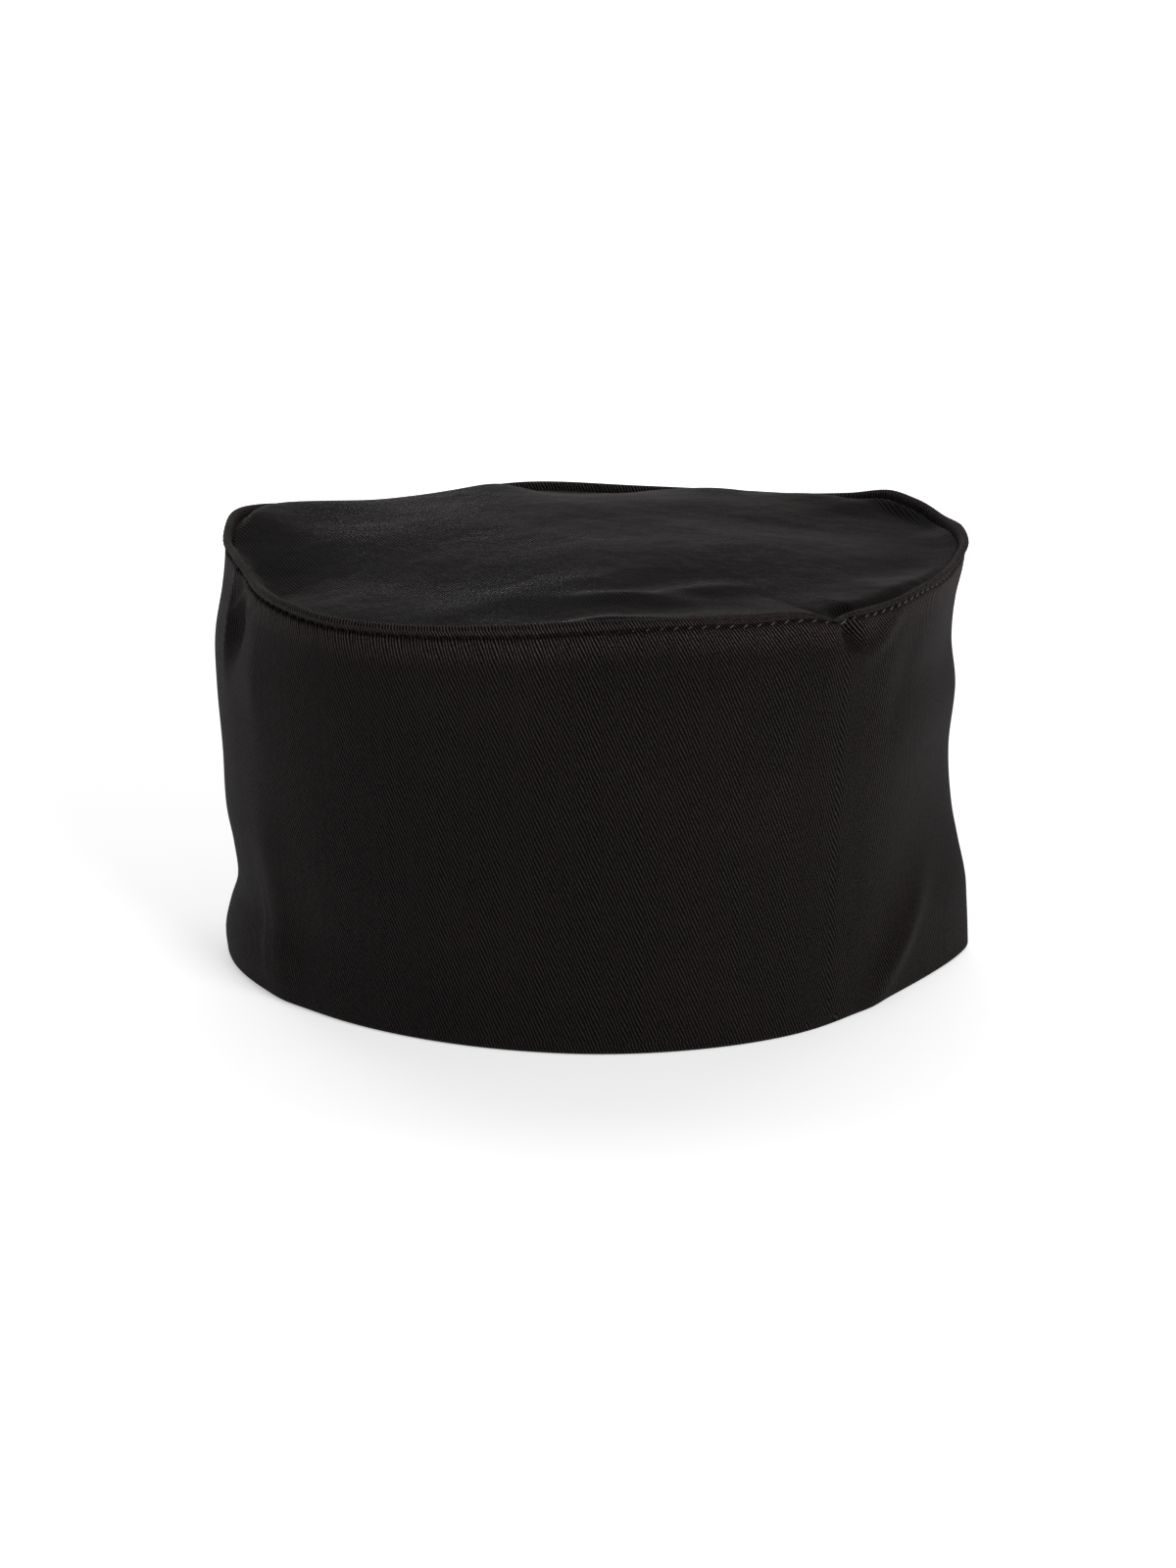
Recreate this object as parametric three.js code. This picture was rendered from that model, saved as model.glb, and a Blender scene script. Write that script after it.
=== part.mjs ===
// Chef skull cap: a deep side band of twill closed in a ring, and a soft crown sewn inside its top edge.
// Millimetres, +Z up, the front towards -Y. The origin is under the middle of the cap, where it stands.
import * as THREE from "three";

// Driving sizes
const cap_width = 198; // across the lower edge, from one side fold to the other
const cap_depth = 173; // across the lower edge, from front to back
const cap_height = 110; // from the lower edge to the top of the ridge
const crown_width = 193; // across the wall just under the ridge, from side to side
const crown_depth = 170; // across the wall just under the ridge, from front to back
const fold_set_back = 5; // how far the two side folds lie behind the middle of the depth
const band_wall = 2.0; // the band's twill, doubled
const ridge_stand = 0.5; // how far the ridge stands out past the wall
const stitch_drop = 2.9; // from the top of the ridge down to the line of stitches
const stitch_sink = 0.8; // how far the stitches pull the cloth in
const stitch_reach = 1.4; // how far below the stitches the cloth is drawn in
const crown_cloth = 1.2; // the crown's twill with the give of its folded edge
const crown_drop = 2.2; // from the top of the ridge down to the crown's edge
const crown_dome = 4.5; // how far the middle of the crown stands above its edge
const puff_start = 2.2; // in from the seam, where the crown's cloth has risen most
const puff_reach = 18; // in from the seam, where that rise dies out
const turn_under = 8; // the crown's seam allowance, turned down inside the band
const seam_gap = 0.3; // between the band and the crown's allowance

// How finely the cloth is divided
const columns = 96; // around the cap
const wall_steps = 12; // up the wall
const ridge_steps = 4; // over the top of the ridge
const crown_rings = 9; // from the middle of the crown to its edge
const row_bias = 1.4; // over 1 puts more of the rows near the ridge and the seam, where the cloth puckers

// How softly the forms blend: a higher power keeps a form closer to its own place
const side_power = 4; // the side bulges, round from the side folds
const end_power = 2; // the front and back bulges, round from the middle
const wall_lift_power = 2; // the rim's lift, down the wall
const crown_lift_power = 7; // the rim's lift, in over the crown
const crown_fade_power = 16; // the crown's folds, which die out at its sewn edge

// Roundness of the lower edge at its ends and towards each side: 2 is an ellipse, less draws out a fold
const foot_round = { ends: 1.86, left: 1.84, right: 1.4 };

// The rim, round the cap. Angle: degrees from the front, towards +X.
// Reach: shares of half the crown's width and depth. Lift: shares of the cap's height.
const rim = [
  { angle: 0, reach: 0.99, lift: 0.022 },
  { angle: 14, reach: 0.995, lift: 0.023 },
  { angle: 24, reach: 1.015, lift: 0.018 },
  { angle: 30, reach: 1.03, lift: 0.019 },
  { angle: 33, reach: 1.045, lift: 0.012 },
  { angle: 35.5, reach: 1.05, lift: -0.004 },
  { angle: 37.5, reach: 1.045, lift: -0.003 },
  { angle: 41, reach: 1.035, lift: 0.003 },
  { angle: 45, reach: 1.025, lift: 0.002 },
  { angle: 50, reach: 1.015, lift: 0.002 },
  { angle: 57, reach: 1.005, lift: 0.007 },
  { angle: 68, reach: 0.99, lift: 0.006 },
  { angle: 80, reach: 0.985, lift: 0.006 },
  { angle: 91, reach: 1.005, lift: 0.013 },
  { angle: 100, reach: 1.015, lift: 0.02 },
  { angle: 112, reach: 1.035, lift: 0.011 },
  { angle: 121, reach: 1.05, lift: 0.026 },
  { angle: 128, reach: 1.05, lift: 0.03 },
  { angle: 137, reach: 1.045, lift: 0.003 },
  { angle: 148, reach: 1.04, lift: -0.018 },
  { angle: 162, reach: 1.025, lift: -0.022 },
  { angle: 174, reach: 1.02, lift: -0.02 },
  { angle: 192, reach: 1.02, lift: -0.008 },
  { angle: 210, reach: 1.015, lift: -0.023 },
  { angle: 226, reach: 1.06, lift: -0.018 },
  { angle: 242, reach: 1.08, lift: 0.017 },
  { angle: 253, reach: 1.055, lift: 0.035 },
  { angle: 262, reach: 1.03, lift: 0.031 },
  { angle: 271, reach: 1.015, lift: 0.017 },
  { angle: 279, reach: 0.995, lift: 0.015 },
  { angle: 286, reach: 0.995, lift: 0.008 },
  { angle: 292, reach: 1.0, lift: -0.002 },
  { angle: 303, reach: 1.03, lift: -0.006 },
  { angle: 318, reach: 1.05, lift: -0.012 },
  { angle: 332, reach: 1.035, lift: -0.006 },
  { angle: 346, reach: 1.01, lift: 0.008 },
];

// The wall, from the lower edge to the ridge. Up and the four bulges are shares of the cap's height.
const wall = [
  { up: 0.0, left: 0.0, right: 0.0, front: 0.0, back: 0.0 },
  { up: 0.06, left: 0.006, right: -0.001, front: 0.002, back: -0.004 },
  { up: 0.12, left: -0.006, right: -0.003, front: 0.003, back: -0.007 },
  { up: 0.18, left: -0.024, right: -0.006, front: 0.005, back: -0.01 },
  { up: 0.28, left: -0.014, right: -0.025, front: 0.007, back: -0.012 },
  { up: 0.36, left: 0.002, right: -0.039, front: 0.009, back: -0.01 },
  { up: 0.5, left: 0.01, right: -0.046, front: 0.011, back: -0.004 },
  { up: 0.66, left: 0.023, right: -0.029, front: 0.013, back: 0.004 },
  { up: 0.77, left: 0.025, right: -0.038, front: 0.016, back: 0.008 },
  { up: 0.87, left: 0.008, right: -0.028, front: 0.017, back: 0.006 },
  { up: 0.94, left: 0.0, right: -0.011, front: 0.013, back: 0.002 },
  { up: 1.0, left: 0.0, right: 0.0, front: 0.0, back: 0.0 },
];

// Dents and folds in the wall. Angle and lean are in degrees, and a fold with no lean runs straight up.
// Up, the half lengths long and wide, and push, which is negative for a dent, are shares of the height.
const wall_folds = [
  { angle: 39.5, up: 0.955, long: 0.036, wide: 0.025, lean: -30, push: -0.044 },
  { angle: 39, up: 0.91, long: 0.06, wide: 0.016, lean: -60, push: 0.01 },
  { angle: 47, up: 0.925, long: 0.08, wide: 0.03, lean: 58, push: 0.01 },
  { angle: 56, up: 0.83, long: 0.2, wide: 0.06, lean: 24, push: -0.004 },
  { angle: 287, up: 0.85, long: 0.09, wide: 0.05, lean: 10, push: -0.02 },
  { angle: 281.5, up: 0.86, long: 0.1, wide: 0.022, lean: -6, push: 0.01 },
  { angle: 285.5, up: 0.912, long: 0.06, wide: 0.01, lean: 53, push: 0.006 },
  { angle: 292, up: 0.92, long: 0.06, wide: 0.012, lean: 57, push: 0.005 },
  { angle: 285, up: 0.955, long: 0.03, wide: 0.03, lean: 60, push: -0.006 },
  { angle: 297, up: 0.8, long: 0.16, wide: 0.06, lean: -6, push: 0.006 },
  { angle: 300, up: 0.2, long: 0.22, wide: 0.07, lean: -10, push: 0.012 },
  { angle: 296, up: 0.17, long: 0.12, wide: 0.014, lean: -14, push: 0.003 },
  { angle: 308, up: 0.22, long: 0.24, wide: 0.09, lean: -8, push: -0.003 },
  { angle: 59, up: 0.12, long: 0.17, wide: 0.045, lean: 51, push: 0.018 },
  { angle: 54, up: 0.21, long: 0.24, wide: 0.08, lean: 46, push: -0.004 },
  { angle: 34, up: 0.0, long: 0.11, wide: 0.22, lean: 0, push: 0.012 },
  { angle: 340, up: 0.6, long: 0.42, wide: 0.14, lean: -18, push: -0.008 },
  { angle: 12, up: 0.52, long: 0.42, wide: 0.16, lean: -10, push: 0.006 },
  { angle: 126, up: 0.72, long: 0.3, wide: 0.09, lean: -12, push: -0.02 },
  { angle: 150, up: 0.5, long: 0.42, wide: 0.14, lean: 8, push: 0.014 },
  { angle: 205, up: 0.62, long: 0.36, wide: 0.13, lean: 14, push: -0.016 },
  { angle: 236, up: 0.55, long: 0.34, wide: 0.1, lean: -10, push: 0.014 },
];

// Puffs and dents in the crown. Right and back are shares of half the crown's width and depth,
// long, wide and rise shares of half its width. Turn: degrees from +X towards the back.
const crown_folds = [
  { right: 0.06, back: -0.71, long: 0.16, wide: 0.055, turn: -4, rise: 0.02 },
  { right: -0.03, back: -0.9, long: 0.16, wide: 0.08, turn: 0, rise: -0.012 },
  { right: 0.27, back: -0.61, long: 0.14, wide: 0.05, turn: 20, rise: 0.011 },
  { right: 0.66, back: -0.76, long: 0.14, wide: 0.08, turn: 50, rise: 0.008 },
  { right: -0.16, back: -0.6, long: 0.3, wide: 0.09, turn: 30, rise: 0.01 },
  { right: -0.5, back: -0.42, long: 0.34, wide: 0.22, turn: -25, rise: -0.02 },
  { right: -0.62, back: 0.12, long: 0.42, wide: 0.12, turn: 22, rise: 0.008 },
  { right: 0.24, back: -0.2, long: 0.5, wide: 0.22, turn: 10, rise: 0.012 },
  { right: 0.62, back: 0.2, long: 0.4, wide: 0.14, turn: -22, rise: -0.012 },
  { right: 0.8, back: 0.62, long: 0.2, wide: 0.14, turn: -30, rise: 0.03 },
  { right: 0.84, back: -0.26, long: 0.2, wide: 0.1, turn: 60, rise: -0.014 },
  { right: -0.05, back: 0.5, long: 0.6, wide: 0.2, turn: 0, rise: 0.014 },
  { right: -0.8, back: 0.55, long: 0.2, wide: 0.14, turn: 40, rise: 0.02 },
];

// Beside the seam the crown puffs up over the ridge or sinks below it. Rise: shares of the height.
const crown_puffs = [
  { angle: 0, rise: 0.022 },
  { angle: 6, rise: 0.02 },
  { angle: 12, rise: 0.014 },
  { angle: 22, rise: 0.014 },
  { angle: 27, rise: 0.012 },
  { angle: 31, rise: 0.012 },
  { angle: 36, rise: 0.014 },
  { angle: 42, rise: 0.018 },
  { angle: 48, rise: 0.018 },
  { angle: 58, rise: 0.018 },
  { angle: 70, rise: 0.01 },
  { angle: 82, rise: 0.0 },
  { angle: 98, rise: -0.006 },
  { angle: 112, rise: -0.012 },
  { angle: 124, rise: -0.028 },
  { angle: 132, rise: -0.006 },
  { angle: 140, rise: 0.018 },
  { angle: 152, rise: 0.022 },
  { angle: 160, rise: 0.026 },
  { angle: 168, rise: 0.016 },
  { angle: 176, rise: 0.0 },
  { angle: 190, rise: 0.0 },
  { angle: 198, rise: 0.03 },
  { angle: 206, rise: 0.03 },
  { angle: 214, rise: 0.024 },
  { angle: 222, rise: 0.018 },
  { angle: 232, rise: 0.018 },
  { angle: 246, rise: 0.028 },
  { angle: 256, rise: 0.026 },
  { angle: 264, rise: 0.01 },
  { angle: 274, rise: -0.01 },
  { angle: 284, rise: -0.034 },
  { angle: 293, rise: -0.034 },
  { angle: 304, rise: -0.012 },
  { angle: 320, rise: -0.004 },
  { angle: 340, rise: 0.0 },
  { angle: 352, rise: 0.004 },
];

const full_turn = 2 * Math.PI;
const column_angle = full_turn / columns;

// Returns a function of a table's key column that blends its other columns smoothly.
// A table that goes round repeats its rows a turn before and a turn after.
function table_reader(rows, key, turn = 0) {
  const turned = (by) => rows.map((row) => ({ ...row, [key]: row[key] + by }));
  const whole = turn ? [...turned(-turn), ...rows, ...turned(turn)] : rows;
  const names = Object.keys(rows[0]).filter((name) => name !== key);
  const places = whole.map((row) => row[key]);
  const values = whole.flatMap((row) => names.map((name) => row[name]));
  const curve = new THREE.CubicInterpolant(places, values, names.length);
  return (place) => {
    const found = curve.evaluate(place);
    return Object.fromEntries(names.map((name, i) => [name, found[i]]));
  };
}

const rim_at = table_reader(rim, "angle", 360);
const reach_beside = [-14, -7, 0, 7, 14];
const wall_at = table_reader(wall, "up");
const puff_at = table_reader(crown_puffs, "angle", 360);

// The height of one long soft fold over a point that lies this far from its middle.
function fold_share(sideways, upwards, lean, long, wide) {
  const along = upwards * Math.cos(lean) + sideways * Math.sin(lean);
  const across = sideways * Math.cos(lean) - upwards * Math.sin(lean);
  return Math.exp(-((along / long) ** 2) - (across / wide) ** 2);
}

// How far the bulges and folds push the wall out at an angle and a share of the height.
function wall_push(angle, up) {
  const side = Math.sin(angle);
  const ahead = Math.cos(angle);
  const bulge = wall_at(up);
  const sides = (side > 0 ? bulge.right : bulge.left) * side ** side_power;
  const ends = (ahead > 0 ? bulge.front : bulge.back) * ahead ** end_power;
  const around = cap_width / 2 / cap_height;
  const folds = wall_folds.map((fold) => {
    const apart = angle - THREE.MathUtils.degToRad(fold.angle);
    const sideways = (apart - full_turn * Math.round(apart / full_turn)) * around;
    const lean = THREE.MathUtils.degToRad(fold.lean);
    return fold.push * fold_share(sideways, up - fold.up, lean, fold.long, fold.wide);
  });
  return cap_height * folds.reduce((sum, push) => sum + push, sides + ends);
}

// The reach of the rim at an angle. Lower down the wall its short kinks are evened out over the
// degrees to either side, so that they don't run down the cloth.
function reach_at(angle, up) {
  const here = THREE.MathUtils.radToDeg(angle);
  const wide = reach_beside.reduce((sum, by) => sum + rim_at(here + by).reach, 0) / reach_beside.length;
  return THREE.MathUtils.lerp(wide, rim_at(here).reach, up ** 5);
}

// The wall's outer outline in plan, at an angle and a share of the height.
function outline(angle, up) {
  const side = Math.sin(angle);
  const ahead = Math.cos(angle);
  const set_back = Math.sign(ahead) * fold_set_back;
  const side_round = side > 0 ? foot_round.right : foot_round.left;
  const round = THREE.MathUtils.lerp(foot_round.ends, side_round, side ** 2);
  const foot_reach = (Math.abs(side) ** round + Math.abs(ahead) ** round) ** (-1 / round);
  const rim_reach = reach_at(angle, up);
  const width = THREE.MathUtils.lerp(foot_reach * cap_width, rim_reach * crown_width, up) / 2;
  const foot_depth = foot_reach * (cap_depth / 2 + set_back);
  const depth = THREE.MathUtils.lerp(foot_depth, rim_reach * (crown_depth / 2 + set_back), up);
  const push = wall_push(angle, up);
  return new THREE.Vector2((width + push) * side, -(depth + push) * ahead);
}

function rim_lift(angle) {
  return cap_height * rim_at(THREE.MathUtils.radToDeg(angle)).lift;
}

// A point of the band, inset squarely from its outer face.
function wall_point(angle, up, inset) {
  const along = outline(angle + column_angle, up).sub(outline(angle - column_angle, up)).normalize();
  const place = outline(angle, up);
  const height = cap_height * up + rim_lift(angle) * up ** wall_lift_power;
  return new THREE.Vector3(place.x - inset * along.y, place.y + inset * along.x, height);
}

function up_below_ridge(drop) {
  return 1 - drop / cap_height;
}

// Where the crown's edge and its allowance lie against the band: the two pieces share these rows.
const seam_rows = [crown_drop + crown_cloth / 2, crown_drop + turn_under / 2, crown_drop + turn_under];

// The band's section: up the outside, over the ridge and down the inside, back to the lower edge.
function band_rows() {
  const shoulder = up_below_ridge(stitch_drop + stitch_reach);
  const levels = Array.from({ length: wall_steps + 1 }, (_, i) => {
    return shoulder * (1 - (1 - i / wall_steps) ** row_bias);
  });
  const radius = (band_wall + ridge_stand) / 2;
  const ridge = Array.from({ length: ridge_steps + 1 }, (_, i) => {
    const turn = (Math.PI * i) / ridge_steps;
    const drop = radius * (1 - Math.sin(turn));
    return { up: up_below_ridge(drop), inset: band_wall - radius * (1 + Math.cos(turn)) };
  });
  const seam = seam_rows.map((drop) => up_below_ridge(drop));
  const inside = [...seam, ...levels.filter((up) => up < seam.at(-1)).reverse()];
  return [
    ...levels.map((up) => ({ up, inset: 0 })),
    { up: up_below_ridge(stitch_drop), inset: stitch_sink },
    ...ridge,
    ...inside.map((up) => ({ up, inset: band_wall })),
    { up: 0, inset: 0 },
  ].map((row) => (angle) => wall_point(angle, row.up, row.inset));
}

// A point of the crown on a ring from 0 in the middle to 1 at its edge, this far below its upper face.
function crown_point(angle, ring, below) {
  const edge = wall_point(angle, up_below_ridge(crown_drop), band_wall + seam_gap + crown_cloth / 2);
  const half_width = crown_width / 2;
  const half_depth = crown_depth / 2;
  const rises = crown_folds.map((fold) => {
    const sideways = (edge.x * ring) / half_width - fold.right;
    const backwards = (edge.y * ring - fold.back * half_depth) / half_width;
    const lean = THREE.MathUtils.degToRad(90 - fold.turn);
    return half_width * fold.rise * fold_share(sideways, backwards, lean, fold.long, fold.wide);
  });
  const folds = rises.reduce((sum, rise) => sum + rise, 0) * (1 - ring ** crown_fade_power);
  const from_seam = Math.hypot(edge.x, edge.y) * (1 - ring);
  const faded = Math.exp(-((from_seam / puff_reach) ** 2));
  const puff_share = faded - Math.exp(-((from_seam / puff_start) ** 2));
  const puff = cap_height * puff_at(THREE.MathUtils.radToDeg(angle)).rise * puff_share;
  const dome = crown_dome * (1 - ring ** 2);
  const lift = rim_lift(angle) * ring ** crown_lift_power;
  const height = cap_height - crown_drop + lift + folds + puff + dome - below;
  return new THREE.Vector3(edge.x * ring, edge.y * ring, height);
}

// The crown's section: from its middle out under the cloth, round its allowance and back over its face.
function crown_rows() {
  const rings = Array.from({ length: crown_rings + 1 }, (_, i) => 1 - (1 - i / crown_rings) ** row_bias);
  const outside = band_wall + seam_gap;
  const inside = outside + crown_cloth;
  const corner = { up: up_below_ridge(crown_drop + crown_cloth + seam_gap), inset: inside };
  const inner = seam_rows.slice(1).map((drop) => ({ up: up_below_ridge(drop), inset: inside }));
  const outer = seam_rows.map((drop) => ({ up: up_below_ridge(drop), inset: outside })).reverse();
  return [
    ...rings.slice(0, -1).map((ring) => (angle) => crown_point(angle, ring, crown_cloth)),
    ...[corner, ...inner, ...outer].map((row) => (angle) => wall_point(angle, row.up, row.inset)),
    ...[...rings].reverse().map((ring) => (angle) => crown_point(angle, ring, 0)),
  ];
}

// Splits each four-sided cell along its other diagonal.
function split_other_way(geometry) {
  const corners = geometry.getIndex();
  for (let cell = 0; cell < corners.count; cell += 6) {
    const [a, b, d, c] = [0, 1, 2, 3].map((k) => corners.getX(cell + k));
    [a, b, c, a, c, d].forEach((corner, k) => corners.setX(cell + k, corner));
  }
}

// A cloth body: a section is turned round the cap, and each column then takes its own section
function cloth(name, rows, material) {
  const section = rows.map((row) => row(0)).map((point) => new THREE.Vector2(-point.y, point.z));
  const geometry = new THREE.LatheGeometry(section, columns);
  const places = geometry.getAttribute("position");
  for (let column = 0; column <= columns; column += 1) {
    rows.forEach((row, i) => {
      const point = row((column % columns) * column_angle);
      places.setXYZ(column * rows.length + i, point.x, point.y, point.z);
    });
  }
  geometry.computeVertexNormals();
  const mesh = new THREE.Mesh(geometry, material);
  mesh.name = name;
  return mesh;
}

const band_twill = new THREE.MeshStandardMaterial({ color: 0x221f1f, roughness: 0.78, metalness: 0 });
const crown_twill = new THREE.MeshStandardMaterial({ color: 0x282525, roughness: 0.76, metalness: 0 });

const side_band = cloth("side_band", band_rows(), band_twill);
const crown_top = cloth("crown_top", crown_rows(), crown_twill);

// The crown's allowance faces the band, so its cells fold along the same lines as the band's.
split_other_way(crown_top.geometry);

const group = new THREE.Group();
group.add(side_band, crown_top);

// The origin goes under the middle of the finished cap.
const extent = new THREE.Box3().setFromObject(group);
const middle = extent.getCenter(new THREE.Vector3());
group.children.forEach((mesh) => mesh.geometry.translate(-middle.x, -middle.y, -extent.min.z));

export default group;
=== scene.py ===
# %% [markdown]
# # A chef's skull cap in black twill
#
# The cap is two pieces of cloth. A deep side band stands up in a ring, and a soft crown is sewn inside
# its upper edge, where the band's cloth turns over and stands up as a narrow ridge. This lesson works
# both pieces out as surfaces with numpy, sews the ridge down with a line of stitches, and weaves the
# twill in a material, because its lines are less than a millimetre apart.

import math

import bpy
import numpy as np
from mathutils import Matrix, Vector


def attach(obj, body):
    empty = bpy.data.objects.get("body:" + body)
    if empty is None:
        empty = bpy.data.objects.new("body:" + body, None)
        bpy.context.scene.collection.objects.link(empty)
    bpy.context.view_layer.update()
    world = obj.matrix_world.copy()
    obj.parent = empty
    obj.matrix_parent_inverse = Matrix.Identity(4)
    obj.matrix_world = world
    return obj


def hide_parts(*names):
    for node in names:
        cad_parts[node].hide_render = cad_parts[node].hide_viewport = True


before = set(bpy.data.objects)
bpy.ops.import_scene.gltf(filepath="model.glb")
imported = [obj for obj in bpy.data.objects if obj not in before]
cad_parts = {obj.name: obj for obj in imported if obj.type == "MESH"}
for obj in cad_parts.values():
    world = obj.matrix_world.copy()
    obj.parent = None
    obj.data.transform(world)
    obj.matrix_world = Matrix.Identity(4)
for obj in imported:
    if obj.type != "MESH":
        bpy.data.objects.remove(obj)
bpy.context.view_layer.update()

# %% [markdown]
# ## The sizes
#
# The band is not a plain tube. Its lower edge is drawn out at two side folds, where the cap has lain
# flat, and its upper edge is rounder and wavy. A few lengths and short tables say all of that. The
# lengths are millimetres, and nearly all are those of the solid model. The tables hold shares of them.

# %% Sizes in millimetres
# The lower edge, the height of the ridge, and the wall just under the ridge
cap_width, cap_depth, cap_height = 198.0, 173.0, 110.0
crown_width, crown_depth = 193.0, 170.0
# How far the side folds lie behind the middle of the depth
fold_set_back = 5.0
# The doubled cloth, how far the ridge stands out past it, and the stitches: their drop from the top of
# the ridge and how far they pull the cloth in
band_wall = 2.0
ridge_stand = 0.5
stitch_drop = 2.9
stitch_sink = 0.95
# The crown: its cloth, its edge below the ridge's top, its rise in the middle, its turned allowance
crown_cloth = 1.2
crown_drop = 2.2
crown_dome = 4.5
turn_under = 8.0
# The middle of the solid model's box, which its source moves to the origin
middle_of_cap = np.array([-1.2034, -4.7492, 0.0])

# Roundness of the lower edge in front and behind, at the right and at the left: 2 is an ellipse
end_round, right_round, left_round = 1.86, 1.4, 1.84
# How narrowly the bulges of the sides and of the ends keep to them
side_power, end_power = 4, 2

stitch_count = 172
columns = 4 * stitch_count
full_turn = 2 * np.pi
angles = np.pi + np.arange(columns) * full_turn / columns
print("columns round the cap:", columns)

# %% [markdown]
# ## Reading a table smoothly
#
# A table names the shape at a few places only. Between two rows the shape follows a cubic curve, so
# there is no corner at a row. At each row the curve's slope is the mean of the two straight runs beside
# it.


# %% A smooth reader for tables
def read_table(rows, place, turn=0.0):
    """Values of the table's columns at a place: a cubic between the two rows beside it, whose slope at a
    row is the mean of the straight runs before and after. A table that goes round repeats every turn."""
    rows = np.array(rows, float)
    if turn:
        step = np.zeros(rows.shape[1])
        step[0] = turn
        rows = np.vstack([rows - step, rows, rows + step])
    at, values = rows[:, 0], rows[:, 1:]
    runs = np.diff(values, axis=0) / np.diff(at)[:, None]
    slopes = np.vstack([runs[:1], (runs[1:] + runs[:-1]) / 2, runs[-1:]])
    i = np.clip(np.searchsorted(at, place, side="right") - 1, 0, len(at) - 2)
    gap = (at[i + 1] - at[i])[..., None]
    t = (place - at[i])[..., None] / gap
    start = (1 + 2 * t) * (1 - t) ** 2 * values[i] + t * (1 - t) ** 2 * gap * slopes[i]
    end = t**2 * (3 - 2 * t) * values[i + 1] - t**2 * (1 - t) * gap * slopes[i + 1]
    return start + end


# Round the rim: degrees from the front towards +X, shares of the crown's half sizes, share of the height
rim = [
    (0, 0.99, 0.022),
    (14, 0.995, 0.023),
    (24, 1.015, 0.018),
    (30, 1.03, 0.019),
    (33, 1.045, 0.012),
    (35.5, 1.05, -0.004),
    (37.5, 1.045, -0.003),
    (41, 1.035, 0.003),
    (45, 1.025, 0.002),
    (50, 1.015, 0.002),
    (57, 1.005, 0.007),
    (68, 0.99, 0.006),
    (80, 0.985, 0.006),
    (91, 1.005, 0.013),
    (100, 1.015, 0.02),
    (112, 1.035, 0.011),
    (121, 1.05, 0.026),
    (128, 1.05, 0.03),
    (137, 1.045, 0.003),
    (148, 1.04, -0.018),
    (162, 1.025, -0.022),
    (174, 1.02, -0.02),
    (192, 1.02, -0.008),
    (210, 1.015, -0.023),
    (226, 1.06, -0.018),
    (242, 1.08, 0.017),
    (253, 1.055, 0.035),
    (262, 1.03, 0.031),
    (271, 1.015, 0.017),
    (279, 0.995, 0.015),
    (286, 0.995, 0.008),
    (292, 1.0, -0.002),
    (303, 1.03, -0.006),
    (318, 1.05, -0.012),
    (332, 1.035, -0.006),
    (346, 1.01, 0.008),
]

# Up the wall: share of the height, then the bulge of the left, right, front and back, as shares of it
wall = [
    (0.0, 0.0, 0.0, 0.0, 0.0),
    (0.06, 0.006, -0.001, 0.002, -0.004),
    (0.12, -0.006, -0.003, 0.003, -0.007),
    (0.18, -0.024, -0.006, 0.005, -0.01),
    (0.28, -0.014, -0.025, 0.007, -0.012),
    (0.36, 0.002, -0.039, 0.009, -0.01),
    (0.5, 0.01, -0.046, 0.011, -0.004),
    (0.66, 0.023, -0.029, 0.013, 0.004),
    (0.77, 0.025, -0.038, 0.016, 0.008),
    (0.87, 0.008, -0.028, 0.017, 0.006),
    (0.94, 0.0, -0.011, 0.013, 0.002),
    (1.0, 0.0, 0.0, 0.0, 0.0),
]
print("rows in the rim's table:", len(rim), "and in the wall's:", len(wall))

# %% [markdown]
# ## Folds
#
# Soft cloth that stands by itself gives way in long shallow dents, and stands out beside them. Each is
# a hill of height over the surface, longer one way than the other, which fades out all round. A table
# lists them: where the hill is, its half lengths, how it leans, and how far it pushes.

# %% Folds of the wall and of the crown
# Degrees round, share up, half length, half width, lean in degrees, push; shares of the height
wall_folds = [
    (39.5, 0.955, 0.036, 0.025, -30, -0.044),
    (39, 0.91, 0.06, 0.016, -60, 0.01),
    (47, 0.925, 0.08, 0.03, 58, 0.01),
    (56, 0.83, 0.2, 0.06, 24, -0.004),
    (287, 0.85, 0.09, 0.05, 10, -0.02),
    (281.5, 0.86, 0.1, 0.022, -6, 0.01),
    (285.5, 0.912, 0.06, 0.01, 53, 0.006),
    (292, 0.92, 0.06, 0.012, 57, 0.005),
    (285, 0.955, 0.03, 0.03, 60, -0.006),
    (297, 0.8, 0.16, 0.06, -6, 0.006),
    (300, 0.2, 0.22, 0.07, -10, 0.012),
    (296, 0.17, 0.12, 0.014, -14, 0.003),
    (308, 0.22, 0.24, 0.09, -8, -0.003),
    (59, 0.12, 0.17, 0.045, 51, 0.018),
    (54, 0.21, 0.24, 0.08, 46, -0.004),
    (34, 0.0, 0.11, 0.22, 0, 0.012),
    (340, 0.6, 0.42, 0.14, -18, -0.008),
    (12, 0.52, 0.42, 0.16, -10, 0.006),
    (126, 0.72, 0.3, 0.09, -12, -0.02),
    (150, 0.5, 0.42, 0.14, 8, 0.014),
    (205, 0.62, 0.36, 0.13, 14, -0.016),
    (236, 0.55, 0.34, 0.1, -10, 0.014),
]

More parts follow.
